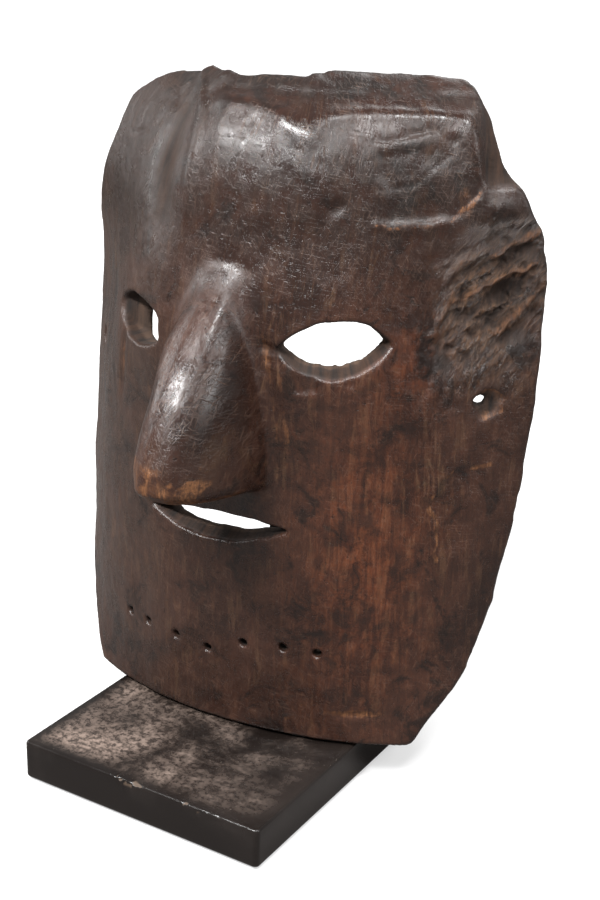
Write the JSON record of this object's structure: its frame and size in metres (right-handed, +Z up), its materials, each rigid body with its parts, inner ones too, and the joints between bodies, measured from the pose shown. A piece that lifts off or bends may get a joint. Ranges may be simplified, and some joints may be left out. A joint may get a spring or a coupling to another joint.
{
  "type": "carved wooden mask on display stand",
  "caption": "Hand-carved wooden face mask, open at eyes and mouth, leaning on a padded steel bracket and standing on a black lacquered display plinth.",
  "frame": {"origin": "centre of the square plinth's footprint, on the surface that it stands on", "axes": "+Z up; the face looks along -Y, turned 3.8 degrees about +Z; +X is the wearer's left"},
  "size_m": [0.2334, 0.1531, 0.3175],
  "materials": {
    "carved_wood": "hand-carved, smoked and handled to a dark semi-gloss patina",
    "plinth_lacquer": "black lacquer, glossy and dusty",
    "felt": "pressed felt",
    "bracket_steel": "satin black paint",
    "screw_steel": "plain zinc",
    "clamp_brass": "knurled, slightly tarnished",
    "sleeve_rubber": "matt rubber tube"
  },
  "bodies": {
    "base": {"plinth": "plinth_lacquer", "base_felt": "felt", "chin_pad_left": "felt", "chin_pad_right": "felt", "post_socket": "bracket_steel", "flange_screw_1": "screw_steel", "flange_screw_2": "screw_steel", "flange_screw_3": "screw_steel", "clamp_screw": "clamp_brass"},
    "bracket": {"post": "bracket_steel", "tee_block": "bracket_steel", "crossbar": "bracket_steel", "sleeve_left": "sleeve_rubber", "sleeve_right": "sleeve_rubber"},
    "mask": {"mask": "carved_wood"}
  },
  "joints": [
    {"name": "bracket_lift", "type": "slide", "parent": "base", "child": "bracket", "axis": [0, 0, 1], "range_m": [0, 0.03]},
    {"name": "mask_lift", "type": "slide", "parent": "bracket", "child": "mask", "axis": [0, 0, 1], "range_m": [0, 0.25]}
  ]
}
